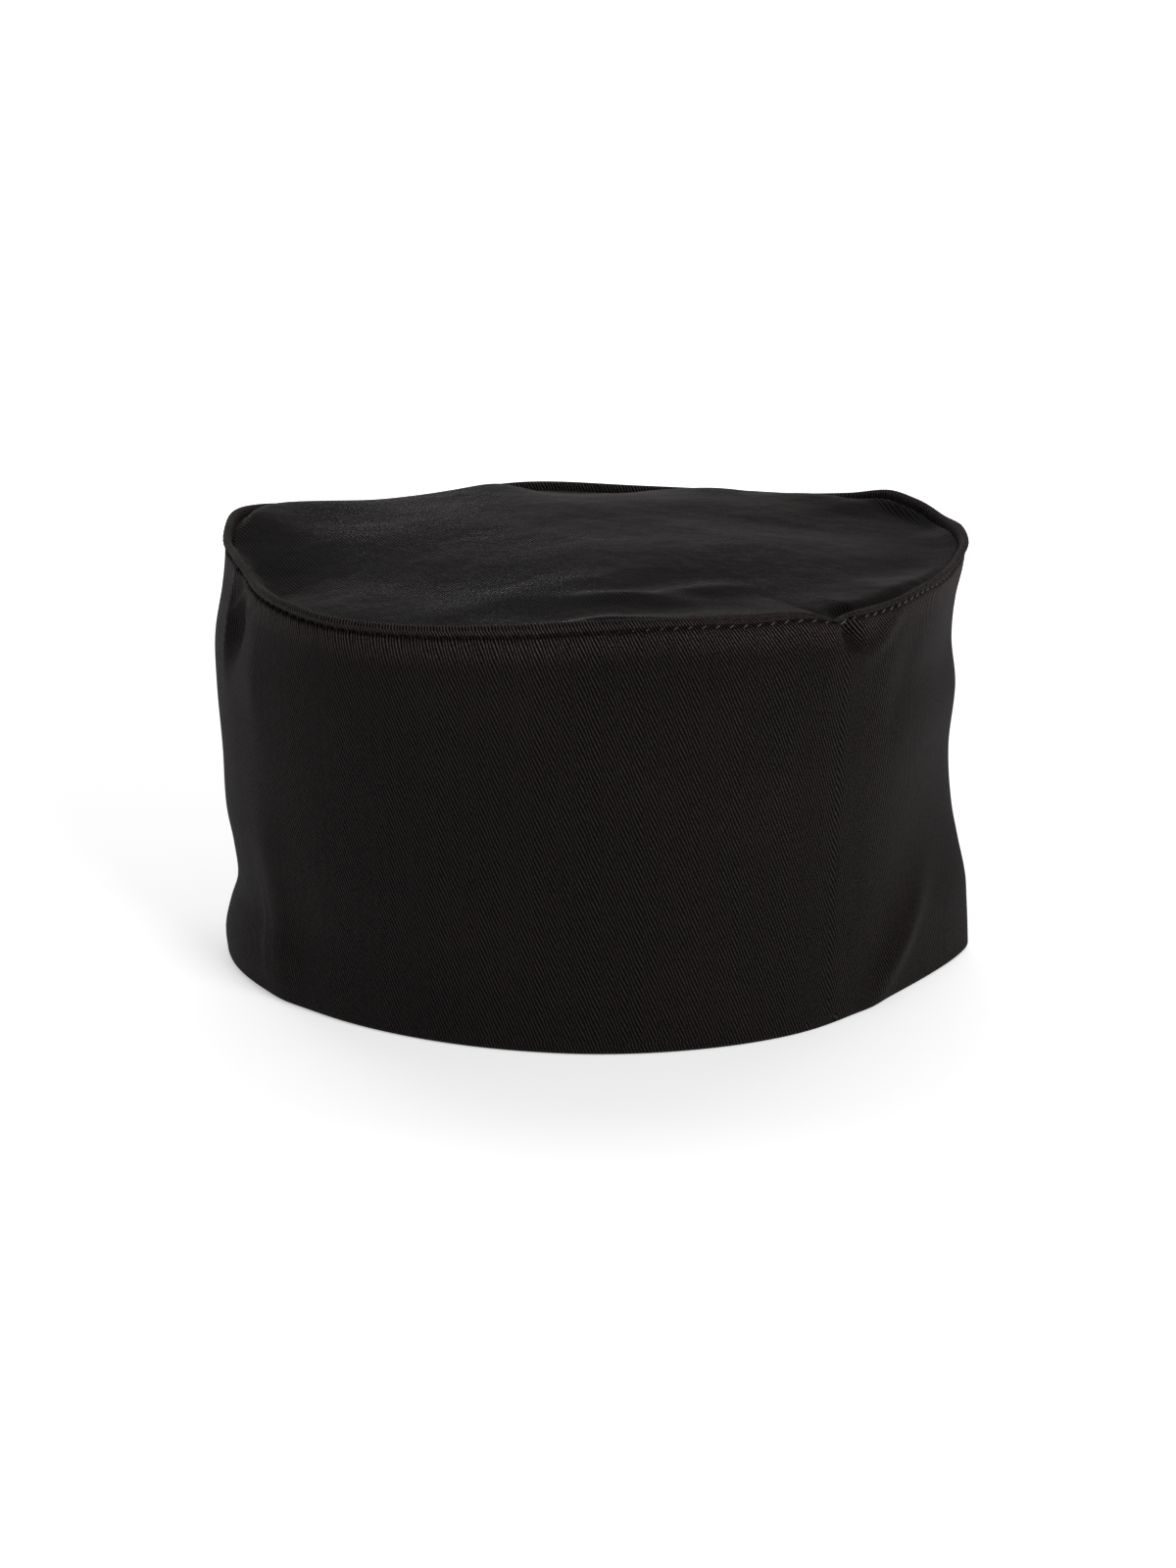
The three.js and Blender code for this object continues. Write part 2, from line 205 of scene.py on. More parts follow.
# Right and back as shares of the half sizes, half length and half width, turn in degrees, rise
crown_folds = [
    (0.06, -0.71, 0.16, 0.055, -4, 0.02),
    (-0.03, -0.9, 0.16, 0.08, 0, -0.012),
    (0.27, -0.61, 0.14, 0.05, 20, 0.011),
    (0.66, -0.76, 0.14, 0.08, 50, 0.008),
    (-0.16, -0.6, 0.3, 0.09, 30, 0.01),
    (-0.5, -0.42, 0.34, 0.22, -25, -0.02),
    (-0.62, 0.12, 0.42, 0.12, 22, 0.008),
    (0.24, -0.2, 0.5, 0.22, 10, 0.012),
    (0.62, 0.2, 0.4, 0.14, -22, -0.012),
    (0.8, 0.62, 0.2, 0.14, -30, 0.03),
    (0.84, -0.26, 0.2, 0.1, 60, -0.014),
    (-0.05, 0.5, 0.6, 0.2, 0, 0.014),
    (-0.8, 0.55, 0.2, 0.14, 40, 0.02),
]


def hills(sideways, upwards, rows):
    """Sum of hills. Each is its height times e to minus the square of the distance from its middle, where
    the distance is measured in half lengths along it and half widths across it."""
    rows = np.array(rows, float)
    total = np.zeros(np.broadcast(sideways(rows[0]), upwards(rows[0])).shape)
    for row in rows:
        lean = np.radians(row[4])
        x, y = sideways(row), upwards(row)
        along = y * np.cos(lean) + x * np.sin(lean)
        across = x * np.cos(lean) - y * np.sin(lean)
        total += row[5] * np.exp(-((along / row[2]) ** 2) - (across / row[3]) ** 2)
    return total


def wall_push(angle, up):
    """Millimetres that bulges and folds push the wall out, at an angle and a share of the height: the
    height times the sum of the side's bulge times a power of the sine, the end's bulge times a power of
    the cosine, and the hills."""
    side, ahead = np.sin(angle), np.cos(angle)
    left, right, front, back = np.moveaxis(read_table(wall, up), -1, 0)
    sides = np.where(side > 0, right, left) * side**side_power
    ends = np.where(ahead > 0, front, back) * ahead**end_power
    around = cap_width / 2 / cap_height

    def sideways(row):
        apart = angle - np.radians(row[0])
        return (apart - full_turn * np.round(apart / full_turn)) * around

    folds = hills(sideways, lambda row: up - row[1], wall_folds)
    return cap_height * (sides + ends + folds)


print("folds in the wall:", len(wall_folds), "and in the crown:", len(crown_folds))

# %% [markdown]
# ## The wall as a function of two parameters
#
# Every point of the band has an angle round the cap and a share of the height. The lower edge is a
# superellipse, which draws out into the side folds, and the rim follows its table. The wall between them
# is a straight blend, pushed out and in by its bulges and folds. The rim's short kinks don't run down
# the wall, so further down it follows the rim's mean over the places beside. An inner face lies squarely
# behind the outer one, so the cloth has the same thickness all round.

# %% Places on the wall
# Degrees to either side over which the wall evens out the rim, and how soon it does so below the rim
beside = (-14, -7, 0, 7, 14)
kink_power = 5


def reach_of_rim(angle, up):
    """The rim's reach here times a power of the share up, plus its mean over the places beside times the
    rest."""
    degrees = np.degrees(angle)
    near = read_table(rim, degrees, 360)[..., 0]
    wide = sum(read_table(rim, degrees + by, 360)[..., 0] for by in beside) / len(beside)
    return wide + (near - wide) * up**kink_power


def outline(angle, up):
    """Plan of the outer face: (share of the width times the sine, less share of the depth times the
    cosine), with both shares blended from the lower edge to the rim, and the push added. The lower edge's
    share is the sum of the sine and the cosine, each to the roundness, to minus 1 over the roundness."""
    side, ahead = np.sin(angle), np.cos(angle)
    set_back = np.sign(ahead) * fold_set_back
    roundness = end_round + (np.where(side > 0, right_round, left_round) - end_round) * side**2
    foot_reach = (np.abs(side) ** roundness + np.abs(ahead) ** roundness) ** (-1 / roundness)
    rim_reach = reach_of_rim(angle, up)
    width = (foot_reach * cap_width * (1 - up) + rim_reach * crown_width * up) / 2
    foot_depth = foot_reach * (cap_depth / 2 + set_back)
    depth = foot_depth * (1 - up) + rim_reach * (crown_depth / 2 + set_back) * up
    push = wall_push(angle, up)
    return np.stack([(width + push) * side, -(depth + push) * ahead], axis=-1)


def rim_lift(angle):
    """Millimetres that the rim stands over or under the cap's height."""
    return cap_height * read_table(rim, np.degrees(angle), 360)[..., 1]


def wall_points(angle, up, inset):
    """Points of the band: the outline, moved squarely in by the inset, at the height times the share up,
    plus the rim's lift times the square of that share."""
    plan = outline(angle, up)
    along = np.roll(plan, -1, axis=1) - np.roll(plan, 1, axis=1)
    along /= np.linalg.norm(along, axis=-1, keepdims=True)
    x = plan[..., 0] - inset * along[..., 1]
    y = plan[..., 1] + inset * along[..., 0]
    z = cap_height * up + rim_lift(angle) * up**2
    return np.stack([x, y, np.broadcast_to(z, x.shape)], axis=-1) - middle_of_cap


front_middle = outline(np.zeros((1, 1)), np.full((1, 1), 0.5))[0, 0]
print("the front at half height lies ahead of the middle by, mm:", round(-front_middle[1], 1))

# %% [markdown]
# ## A mesh from a grid
#
# Both pieces of cloth are closed: the band's section is a loop that is carried round the cap, and the
# crown's section starts and ends in its middle. A helper turns such a grid of points into faces. It
# closes the grid round the cap, and closes a loop of rows or makes a fan at a pole. The mesh also stores
# where each corner lies on the flat cloth, so that the weave can follow the cloth.


# %% A mesh from points and faces
def new_piece(name, points, corners, sizes, places):
    """An object with smooth faces: its points in millimetres, the corners of all the faces in one row,
    how many corners each face has, and where each corner lies on the flat cloth."""
    mesh = bpy.data.meshes.new(name)
    mesh.vertices.add(len(points))
    mesh.vertices.foreach_set("co", (points / 1000).astype(np.float32).ravel())
    mesh.loops.add(len(corners))
    mesh.loops.foreach_set("vertex_index", corners.astype(np.int32))
    mesh.polygons.add(len(sizes))
    starts = np.concatenate([[0], np.cumsum(sizes)[:-1]])
    mesh.polygons.foreach_set("loop_start", starts.astype(np.int32))
    mesh.polygons.foreach_set("use_smooth", np.ones(len(sizes), bool))
    layer = mesh.uv_layers.new(name="cloth")
    mesh.update(calc_edges=True)
    layer.data.foreach_set("uv", places.astype(np.float32).ravel())
    mesh.validate()
    piece = bpy.data.objects.new(name, mesh)
    bpy.context.scene.collection.objects.link(piece)
    print(f"{name}: {len(points)} points, {int((sizes - 2).sum())} triangles")
    return piece


# %% A mesh from rows of points
def cloth_mesh(name, points, flat, loop):
    """Joins each point to the next one round the cap and to the next row. points has a row for each step
    of the section, in millimetres, and flat has one row and one column more, in metres. A section that
    isn't a loop starts and ends at a pole, whose row is one point."""
    rows, around = points.shape[:2]
    number = np.arange(rows * around).reshape(rows, around)
    if not loop:
        number[0] = number[0, 0]
        number[-1] = number[-1, 0]
    row_after = np.arange(rows + 1) % rows if loop else np.arange(rows)
    grid = np.concatenate([number[row_after], number[row_after][:, :1]], axis=1)
    corners = [(0, 0), (0, 1), (1, 1), (1, 0)]
    last_row, last_column = grid.shape[0] - 1, grid.shape[1] - 1

    def cut(table, step):
        return table[step[0] : step[0] + last_row, step[1] : step[1] + last_column]

    faces = np.stack([cut(grid, step) for step in corners], axis=-1).reshape(-1, 4)
    places = np.stack([cut(flat, step) for step in corners], axis=-2).reshape(-1, 4, 2)
    keep = faces != np.roll(faces, 1, axis=1)
    used, compact = np.unique(faces, return_inverse=True)
    corners_used = compact.reshape(faces.shape)[keep]
    return new_piece(name, points.reshape(-1, 3)[used], corners_used, keep.sum(axis=1), places[keep])


def lengths(points, axis):
    """Running length along an axis of a grid of points, from 0."""
    steps = np.linalg.norm(np.diff(points, axis=axis), axis=-1)
    return np.concatenate([np.zeros_like(np.take(steps, [0], axis)), np.cumsum(steps, axis=axis)], axis)


# %% [markdown]
# ## The side band
#
# The band is a strip of twill that is doubled along its lower edge, so that edge is a soft fold, and both
# layers end in the seam at the top. There the outer layer rolls over and stands up as a ridge about
# 2 mm tall, and a line of stitches below it draws the cloth in. At each needle hole the cloth is drawn
# in a little more than between two holes. A seam down the middle of the back closes the ring.

# %% The section of the band
# The shoulder is where the wall ends and the ridge begins, and the fade's end is where the cloth no
# longer follows the height of the ridge, both in millimetres below the rim
wall_rows = 84
shoulder = 5.6
fade_end = 9.0
ridge_radius = (band_wall + ridge_stand) / 2
fold_radius = band_wall / 2

climb = np.linspace(0, 1, wall_rows)
outside_up = (1 - shoulder / cap_height) * (1 - (1 - climb) ** 1.5)
outside_up = fold_radius / cap_height + outside_up * (1 - fold_radius / cap_height)
drops = np.array([5.1, 4.6, 4.2, 3.9, 3.65, 3.4, 3.2, 3.0, 2.75, 2.45, 2.1, 1.7])
turn = np.linspace(0, np.pi, 11)
outer_share = np.clip(1.1 * np.cos(turn) ** 3, 0, 1)
ridge_drop = ridge_radius * (1 - np.sin(turn))
ridge_inset = band_wall - ridge_radius * (1 + np.cos(turn))
seam_drops = np.array([2.2, 3.0, 4.2, 6.0, 8.0, 10.2, 12.5])
inside_up = np.linspace(1 - 15.5 / cap_height, 2.5 / cap_height, 24)
under = np.linspace(0, np.pi, 7)

section_up = np.concatenate(
    [
        outside_up,
        1 - drops / cap_height,
        1 - ridge_drop / cap_height,
        1 - seam_drops / cap_height,
        inside_up,
        fold_radius * (1 - np.sin(under)) / cap_height,
    ]
)
section_inset = np.concatenate(
    [
        np.zeros(wall_rows + len(drops)),
        ridge_inset,
        np.full(len(seam_drops) + len(inside_up), band_wall),
        fold_radius * (1 + np.cos(under)),
    ]
)[:, None]
section_up, section_inset = section_up[1:, None], section_inset[1:]
section_drop = cap_height * (1 - section_up)
outside = np.zeros((len(section_up), 1))
outside[: wall_rows + len(drops) - 1] = 1.0
outside[wall_rows + len(drops) - 1 :][: len(turn), 0] = outer_share
print("rows in the band's section:", len(section_up))

# Round the cap: degrees, height of the ridge over its stitches as a share of the usual one, and
# millimetres that the thread stands out of the valley
ridge_heights = [
    (0, 1.0, 0.05),
    (9, 0.82, 0.2),
    (20, 0.72, 0.3),
    (30, 0.62, 0.35),
    (33, 0.55, 0.3),
    (35.5, 0.25, 0.2),
    (38, 0.6, 0.35),
    (42, 0.66, 0.4),
    (50, 0.6, 0.4),
    (60, 0.6, 0.3),
    (80, 0.75, 0.1),
    (110, 1.0, 0.0),
    (180, 0.9, 0.0),
    (250, 0.8, 0.0),
    (290, 1.0, -0.05),
    (340, 1.0, -0.05),
]


# %% The band's surface
def needle_holes(angle):
    """1 at each needle hole and 0 half way to the next one: half of 1 plus the cosine of the angle times
    the number of stitches."""
    return 0.5 + 0.5 * np.cos(stitch_count * angle)


def stitch_dip(angle, drop):
    """Millimetres that the stitches draw the outer face in: a narrow valley along the stitches that is
    deeper at the needle holes, and a wider one where the holes pull on the cloth. Each is e to minus the
    square of the distance from the stitches over the valley's half width."""
    valley = np.exp(-(((drop - stitch_drop) / 0.62) ** 2))
    below = np.exp(-(((drop - stitch_drop) / 2.6) ** 2))
    holes = needle_holes(angle)
    return stitch_sink * valley * (0.4 + 0.85 * holes) + 0.2 * below * (0.3 + 0.7 * holes)


def back_seam(angle, drop):
    """Millimetres that the closing seam sinks the face: a narrow groove down the middle of the back,
    between two slightly raised allowances."""
    apart = (angle - np.pi) * cap_width / 2
    groove = 0.55 * np.exp(-((apart / 0.7) ** 2))
    allowance = -0.3 / (1 + np.exp((np.abs(apart) - 9.0) / 0.5))
    return (groove + allowance) * np.clip((drop - 1.0) / 3.0, 0, 1)


def lower_ridge(angle, drop):
    """Millimetres that a place near the ridge comes up where the ridge is low: its drop times the part of
    the ridge's height that is missing, which fades out between the stitches and the fade's end."""
    missing = 1 - read_table(ridge_heights, np.degrees(angle), 360)[..., 0]
    fade = np.clip((fade_end - drop) / (fade_end - stitch_drop), 0, 1)
    return missing * np.minimum(drop, stitch_drop) * fade**2 * (3 - 2 * fade)


grid_angle = angles[None, :]
dip = stitch_dip(grid_angle, section_drop) + back_seam(grid_angle, section_drop)
inset = section_inset + outside * dip
band_up = section_up + outside * lower_ridge(grid_angle, section_drop) / cap_height
band_points = wall_points(grid_angle, band_up, inset)

closed_rows = np.concatenate([band_points, band_points[:1]], axis=0)
closed = np.concatenate([closed_rows, closed_rows[:, :1]], axis=1)
middle_row = np.argmin(np.abs(section_up[:wall_rows, 0] - 0.5))
round_the_cap = lengths(closed[middle_row], 0)
up_the_cloth = lengths(closed, 0)
stitch_row = int(np.argmin(np.abs(section_drop[:, 0] - stitch_drop) + 10 * (outside[:, 0] < 1)))
up_the_cloth = up_the_cloth - up_the_cloth[stitch_row] + cap_height - stitch_drop

# Round the cap: degrees, how far the twill leans over just under the ridge, as a slope
leans = [
    (4, 0.1),
    (13, 0.2),
    (22, 0.42),
    (44, 0.5),
    (60, 0.2),
    (90, 0.0),
    (270, 0.0),
    (312, -0.25),
    (326, -0.3),
    (338, -0.1),
]
lean_start = 16.0
lean = read_table(leans, np.degrees(grid_angle), 360)[..., 0]
lean = np.concatenate([lean, lean[:, :1]], axis=1)
near_ridge = np.clip(lean_start - np.concatenate([section_drop, section_drop[:1]]), 0, None)
across_the_cloth = round_the_cap + lean * near_ridge**2 / (2 * lean_start)
band_flat = np.stack([across_the_cloth, up_the_cloth], axis=-1) / 1000
side_band = cloth_mesh("side_band_twill", band_points, band_flat, loop=True)
print("round the cap at half height, mm:", round(round_the_cap[-1]))

# %% [markdown]
# ## The crown
#
# The crown is a flat panel that is a little too large for the ring, so it domes a few millimetres, lies
# in soft folds and puffs up here and there beside the seam. Its allowance is turned down inside the
# band. A point of it has an angle and a ring, from 0 in the middle to 1 at the sewn edge.

# %% The crown's surface
# Beside the seam, round the cap: degrees, rise of the cloth as a share of the height
crown_puffs = [
    (0, 0.022),
    (6, 0.02),
    (12, 0.014),
    (22, 0.014),
    (27, 0.012),
    (31, 0.012),
    (36, 0.014),
    (42, 0.018),
    (48, 0.018),
    (58, 0.018),
    (70, 0.01),
    (82, 0.0),
    (98, -0.006),
    (112, -0.012),
    (124, -0.028),
    (132, -0.006),
    (140, 0.018),
    (152, 0.022),
    (160, 0.026),
    (168, 0.016),
    (176, 0.0),
    (190, 0.0),
    (198, 0.03),
    (206, 0.03),
    (214, 0.024),
    (222, 0.018),
    (232, 0.018),
    (246, 0.028),
    (256, 0.026),
    (264, 0.01),
    (274, -0.01),
    (284, -0.034),
    (293, -0.034),
    (304, -0.012),
    (320, -0.004),
    (340, 0.0),
    (352, 0.004),
]
seam_gap = 0.08
edge_inset = band_wall + seam_gap + crown_cloth / 2
# In from the seam: where a puff has risen, and where it dies out
puff_start, puff_reach = 2.2, 18.0
# How closely to the sewn edge the folds fade out, and the rim's lift carries on
fold_power, lift_power = 16, 7


def crown_points(angle, ring, below):
    """Points of the crown: the sewn edge's plan times the ring, at the edge's height plus the dome, which
    is fullest in the middle, the folds, which fade out at the edge, and the puffs beside the seam. The
    dome is its height times 1 less the square of the ring."""
    edge = wall_points(angle, np.full((1, 1), 1 - crown_drop / cap_height), edge_inset) + middle_of_cap
    half_width, half_depth = crown_width / 2, crown_depth / 2
    x, y = edge[..., 0] * ring, edge[..., 1] * ring

    def sideways(row):
        return x / half_width - row[0]

    def backwards(row):
        return (y - row[1] * half_depth) / half_width

    rows = np.array(crown_folds, float)
    rows[:, 4] = 90 - rows[:, 4]
    rise = half_width * hills(sideways, backwards, rows) * (1 - ring**fold_power)
    in_from_seam = np.hypot(edge[..., 0], edge[..., 1]) * (1 - ring)
    puff = cap_height * read_table(crown_puffs, np.degrees(angle), 360)[..., 0]
    risen = 1 - np.exp(-((in_from_seam / puff_start) ** 2))
    dying = np.exp(-((in_from_seam / puff_reach) ** 2))
    rise = rise + puff * risen * dying
    dome = crown_dome * (1 - ring**2)
    z = cap_height - crown_drop + rim_lift(angle) * ring**lift_power + rise + dome - below
    return np.stack([x, y, z], axis=-1) - middle_of_cap


rings = 1 - (1 - np.linspace(0, 1, 76)) ** 1.35
lower_rings = np.linspace(0, 0.985, 26)
lower_face = crown_points(grid_angle, lower_rings[:, None], crown_cloth)
allowance_drops = crown_drop + turn_under * np.array([0.25, 0.425, 0.625, 0.825, 1.0])
outer_drops = np.concatenate([allowance_drops[::-1], crown_drop + np.array([1.4, 0.9, 0.5])])
outer_face = band_wall + seam_gap
inner = wall_points(grid_angle, 1 - allowance_drops[:, None] / cap_height, outer_face + crown_cloth)
outer = wall_points(grid_angle, 1 - outer_drops[:, None] / cap_height, outer_face)
upper_face = crown_points(grid_angle, rings[::-1, None], 0.0)
crown_grid = np.concatenate([lower_face, inner, outer, upper_face], axis=0)

crown_flat = crown_grid[..., :2].copy()
crown_flat = np.concatenate([crown_flat, crown_flat[:, :1]], axis=1) / 1000
crown = cloth_mesh("crown_twill", crown_grid, crown_flat, loop=False)

# %% [markdown]
# ## Materials
#
# A material is a graph of nodes. Written as sums and products it is easier to read, so a small class
# wraps an output socket and adds a Math node for each operator, and one method adds any other node.


# %% Shader sums as Python expressions
class Wire:
    """One output socket of a finish. Sums, products and powers of wires add Math nodes."""

    def __init__(self, finish, socket):
        self.finish, self.socket = finish, socket

    def maths(self, operation, *values):
        return self.finish.node("ShaderNodeMath", {"operation": operation}, dict(enumerate(values)))

    def __add__(self, other):
        return self.maths("ADD", self, other)

    def __radd__(self, other):
        return self.maths("ADD", other, self)

    def __sub__(self, other):
        return self.maths("SUBTRACT", self, other)

    def __rsub__(self, other):
        return self.maths("SUBTRACT", other, self)

    def __mul__(self, other):
        return self.maths("MULTIPLY", self, other)

    def __rmul__(self, other):
        return self.maths("MULTIPLY", other, self)

    def __truediv__(self, other):
        return self.maths("DIVIDE", self, other)

    def __pow__(self, other):
        return self.maths("POWER", self, other)

    def wave(self):
        """0 to 1 and back once for each whole number: half of 1 minus the cosine."""
        return 0.5 - 0.5 * self.maths("COSINE", self * full_turn)

    def between(self, low, high):
        """0 below low, 1 above high, and a smooth step between them."""
        settings = {"interpolation_type": "SMOOTHSTEP"}
        return self.finish.node("ShaderNodeMapRange", settings, {"Value": self, 1: low, 2: high})


class Finish:
    """A material whose nodes are added by name, settings and inputs."""

    def __init__(self, name):
        self.material = bpy.data.materials.new(name)
        self.material.use_nodes = True
        self.tree = self.material.node_tree
        self.shader = self.tree.nodes["Principled BSDF"]

    def node(self, kind, settings=None, inputs=None, output=0):
        made = self.tree.nodes.new(kind)
        for key, value in (settings or {}).items():
            setattr(made, key, value)
        for key, value in (inputs or {}).items():
            self.put(made.inputs[key], value)
        return Wire(self, made.outputs[output])

    def put(self, socket, value):
        if isinstance(value, Wire):
            self.tree.links.new(value.socket, socket)
        else:
            socket.default_value = value

    def set(self, **values):
        for key, value in values.items():
            self.put(self.shader.inputs[key.replace("_", " ")], value)

    def mix(self, share, first, second):
        """A colour that goes from the first to the second as the share goes from 0 to 1."""
        inputs = {"Factor": share, 6: first, 7: second}
        return self.node("ShaderNodeMix", {"data_type": "RGBA"}, inputs, output=2)

    def flat_place(self):
        """Where a point lies on the flat cloth, in metres: across the cloth and along it."""
        flat = self.node("ShaderNodeUVMap", {"uv_map": "cloth"})
        parts = [self.node("ShaderNodeSeparateXYZ", {}, {0: flat}, output=k) for k in (0, 1)]
        return flat, *parts

    def noise(self, vector, scale, detail=2.0, roughness=0.5):
        inputs = {"Vector": vector, "Scale": scale, "Detail": detail, "Roughness": roughness}
        return self.node("ShaderNodeTexNoise", {}, inputs)


# %% [markdown]
# ## Twill
#
# In twill each thread passes over three and under one, one step further along at each row, so the cloth
# is covered with fine slanting lines. Here they lie 0.87 mm apart and lean to the left as they rise, at
# 68 degrees. A wave across the lines gives the ridges, and a finer wave the single threads. The grooves
# are coloured much darker than the crests, as painted shade in the grooves and a painted highlight on the
# crests. The lines wander a little, and lint and wear lighten the cloth in places.
# Just under the ridge the crests are coloured lighter still, a painted highlight where the cloth tilts up
# to the light with a little wear, but not in the valley of the stitches. Last, the whole cloth is a
# little crumpled.


# %% The twill finish
# The run of the lines: how far they rise for each step that they go across
rise_of_lines = 2.45


def twill(name, pitch, crest, groove, sheen, wear, ridge_highlight_and_wear, crumple):
    """A finish for black twill. The height over the cloth is a wave of the place across the lines, times
    a weak wave of the threads along them, plus a little noise. The shade, from groove to crest, is that
    wave's upper part times a grain and a slow cloud: painted shade in the grooves, a painted highlight on
    the crests."""
    finish = Finish(name)
    flat, across, along = finish.flat_place()
    drift = finish.noise(flat, 90.0, 2.0) - 0.5
    uneven = finish.noise(flat, 1500.0, 2.0)
    grain = finish.noise(flat, 2200.0, 1.0, 0.6).between(0.34, 0.66)
    lines = (across + along * (1 / rise_of_lines)) / pitch + drift * 0.35
    line = lines.wave()
    thread = (across / (pitch / 4)).wave()
    pick = (along / (pitch * rise_of_lines / 4) + across / pitch).wave()
    height = line * (0.72 + 0.14 * thread + 0.14 * pick) + 0.25 * uneven
    cloud = finish.noise(flat, 26.0, 4.0, 0.6)
    lint = finish.noise(flat, 900.0, 1.0).between(0.74, 0.8)
    # Painted shade and highlight: the grooves' nearly black colour is painted shade, and the crests'
    # colour a painted highlight.
    shade = line.between(0.42, 1.0) * (0.35 + 1.25 * grain) * (0.6 + 0.8 * cloud)
    colour = finish.mix(shade, (*groove, 1), (*crest, 1))
    # Painted highlight with a little wear: just under the ridge the crests are coloured lighter, where
    # the cloth tilts up to the light, but not in the valley of the stitches.
    valley = ((along - (cap_height - stitch_drop) / 1000) / 0.0007) ** 2
    near_ridge = along.between(0.098, 0.105) * (1 - along.between(0.1125, 0.115))
    highlight_and_wear_under_ridge = shade * near_ridge * valley.between(0.3, 2.0) * ridge_highlight_and_wear
    colour = finish.mix(highlight_and_wear_under_ridge, colour, (0.09, 0.068, 0.066, 1))
    worn = cloud.between(0.45, 0.75) * wear
    colour = finish.mix(worn, colour, (0.05, 0.044, 0.044, 1))
    colour = finish.mix(lint * 0.12, colour, (0.08, 0.075, 0.075, 1))
    soft = finish.noise(flat, 44.0, 3.0, 0.5)
    wavy = finish.node("ShaderNodeBump", {}, {"Strength": 1.0, "Distance": crumple, "Height": soft})
    inputs = {"Strength": 1.0, "Distance": 0.0002, "Height": height, "Normal": wavy}
    bump = finish.node("ShaderNodeBump", {}, inputs)
    finish.set(Base_Color=colour, Roughness=0.72 + 0.14 * cloud, Normal=bump)
    finish.set(Sheen_Weight=sheen, Sheen_Roughness=0.18, Specular_IOR_Level=0.07)
    finish.shader.inputs["Sheen Tint"].default_value = (1.0, 0.91, 0.89, 1.0)
    return finish.material


# The crest and groove colours below are a painted highlight and painted shade of the weave.
band_twill = twill(
    "band_twill",
    pitch=0.00087,
    crest=(0.0285, 0.0212, 0.0208),
    groove=(0.0003, 0.0002, 0.0002),
    sheen=0.025,
    wear=0.02,
    ridge_highlight_and_wear=0.45,
    crumple=0.0008,
)
crown_twill = twill(
    "crown_twill",
    pitch=0.00092,
    crest=(0.012, 0.0088, 0.0086),
    groove=(0.0009, 0.0006, 0.0006),
    sheen=0.16,
    wear=0.04,
    ridge_highlight_and_wear=0,
    crumple=0.0019,
)
print("nodes in the band's finish:", len(band_twill.node_tree.nodes))
side_band.data.materials.append(band_twill)
crown.data.materials.append(crown_twill)

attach(side_band, "root")
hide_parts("side_band")
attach(crown, "root")
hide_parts("crown_top")

# %% [markdown]
# ## The stitches
#
# The ridge is held down by a machine stitch about 3.3 mm long, in black thread. Each stitch is a short
# piece of thread that comes up out of one needle hole and goes down into the next, so it is a small bent
# tube, slightly aslant, and it lies in the valley that it has drawn.


# %% Threads along a line of stitches
def thread_mesh(name, start, end, outward, radius, bow, slant):
    """Bent tubes from start to end points. Along each the middle rises by the bow times a power of the
    sine of half a turn, and a circle round it, which narrows towards both ends, makes the skin."""
    steps, sides = 13, 8
    s = np.linspace(0, 1, steps)[None, :, None, None]
    around = (np.arange(sides) * full_turn / sides)[None, None, :, None]
    start, end, outward = (value[:, None, None, :] for value in (start, end, outward))
    forward = end - start
    forward_unit = forward / np.linalg.norm(forward, axis=-1, keepdims=True)
    across = np.cross(outward, forward_unit)
    middle = start + forward * s + outward * bow * np.sin(np.pi * s) ** 0.7
    middle = middle + across * slant * (s - 0.5)
    skin = radius * np.sin(np.pi * np.clip(s, 0.02, 0.98)) ** 0.3
    points = middle + skin * (np.cos(around) * outward + np.sin(around) * across)
    count = points.shape[0]
    number = np.arange(count * steps * sides).reshape(count, steps, sides)
    following = np.roll(number, -1, axis=2)
    quads = np.stack([number[:, :-1], following[:, :-1], following[:, 1:], number[:, 1:]], axis=-1)
    flip = quads.reshape(-1, 4)[:, ::-1]
    caps = np.concatenate([number[:, 0, :], number[:, -1, ::-1]], axis=0)
    corners = np.concatenate([flip.ravel(), caps.ravel()])
    sizes = np.concatenate([np.full(len(flip), 4), np.full(len(caps), sides)])
    place = np.stack(np.broadcast_arrays(around / full_turn, s), axis=-1)[0, :, :, 0]
    place = np.broadcast_to(place, (count, steps, sides, 2)).reshape(-1, 2)
    return new_piece(name, points.reshape(-1, 3), corners, sizes, place[corners])


seam_line = band_points[stitch_row]
next_line = np.roll(seam_line, -1, axis=0)
tangent = next_line - np.roll(seam_line, 1, axis=0)
tangent /= np.linalg.norm(tangent, axis=-1, keepdims=True)
sideways_out = np.stack([tangent[:, 1], -tangent[:, 0], np.zeros(columns)], axis=-1)
sideways_out /= np.linalg.norm(sideways_out, axis=-1, keepdims=True)
columns_a_stitch = columns // stitch_count
holes = np.arange(stitch_count) * columns_a_stitch
next_holes = np.roll(holes, -1)
out = sideways_out[(holes + columns_a_stitch // 2) % columns]
reach = seam_line[next_holes] - seam_line[holes]
proud = read_table(ridge_heights, np.degrees(angles[holes]), 360)[:, 1:]
# Shares of a stitch that the thread comes up after its hole and goes down before the next
comes_up, goes_down = 0.16, 0.3
stitches = thread_mesh(
    "ridge_stitches",
    seam_line[holes] + comes_up * reach + proud * out,
    seam_line[next_holes] - goes_down * reach + proud * out,
    out,
    radius=0.27,
    bow=0.5,
    slant=1.3,
)

